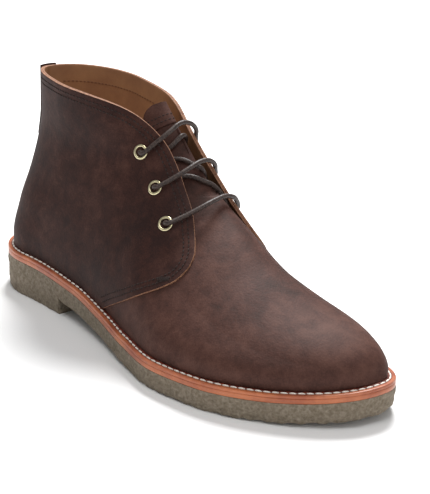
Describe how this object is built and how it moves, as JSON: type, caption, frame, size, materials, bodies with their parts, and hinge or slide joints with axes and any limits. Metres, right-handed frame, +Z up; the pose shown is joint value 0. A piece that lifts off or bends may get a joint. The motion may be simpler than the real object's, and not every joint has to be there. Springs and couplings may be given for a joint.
{
  "type": "desert boot",
  "caption": "Ankle-high laced leather boot for the right foot, open at the collar, with a welt, thin leather midsole and low-heeled rubber sole.",
  "frame": {"origin": "on the floor, under the middle of the boot's bounding box", "axes": "+X from heel to toe, +Y to the inner side of the foot, +Z up"},
  "size_m": [0.302, 0.1088, 0.1439],
  "materials": {
    "sole_rubber": "granular crepe-like rubber, matt",
    "midsole_leather": "tan sole leather, satin edge",
    "welt_leather": "dyed welt leather, satin",
    "upper_leather": "oiled pull-up leather, satin",
    "lining_leather": "tan lining leather, matt",
    "eyelet_brass": "polished",
    "lace_cord": "round waxed cord"
  },
  "bodies": {
    "root": {"outsole": "sole_rubber", "midsole": "midsole_leather", "welt": "welt_leather", "insole": "lining_leather", "upper": "upper_leather", "tongue": "upper_leather", "back_strip": "upper_leather", "eyelet_outer_1": "eyelet_brass", "eyelet_outer_2": "eyelet_brass", "eyelet_outer_3": "eyelet_brass", "eyelet_inner_1": "eyelet_brass", "eyelet_inner_2": "eyelet_brass", "eyelet_inner_3": "eyelet_brass", "lace": "lace_cord", "lace_end_inner": "lace_cord", "lace_end_outer": "lace_cord"}
  },
  "joints": []
}
